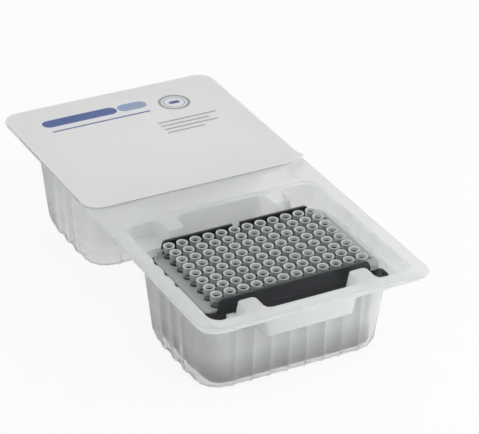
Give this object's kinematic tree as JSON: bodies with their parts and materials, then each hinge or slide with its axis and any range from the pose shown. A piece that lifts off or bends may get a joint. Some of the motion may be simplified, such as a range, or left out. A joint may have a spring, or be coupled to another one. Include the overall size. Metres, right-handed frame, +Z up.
{
  "type": "box of pipette tips",
  "caption": "Twin blister pack of racked filter pipette tips: one well open, showing its black rack and grey tip plate, the other closed by a peel-off lid film.",
  "frame": {"origin": "under the middle of the sheet, on the plane that the wells stand on", "axes": "+X along the tip rows of twelve, +Y from the open well to the sealed well, +Z up"},
  "size_m": [0.1548, 0.3046, 0.0676],
  "materials": {
    "tray_plastic": "milky translucent thermoformed sheet",
    "rack_plastic": "black injection-moulded polypropylene",
    "plate_plastic": "smoke-grey translucent moulded polypropylene",
    "film": "satin white sealing film"
  },
  "bodies": {
    "root": {"blister_tray": "tray_plastic", "rack_base": "rack_plastic", "tip_plate": "plate_plastic", "lid_film": "film"}
  },
  "joints": []
}
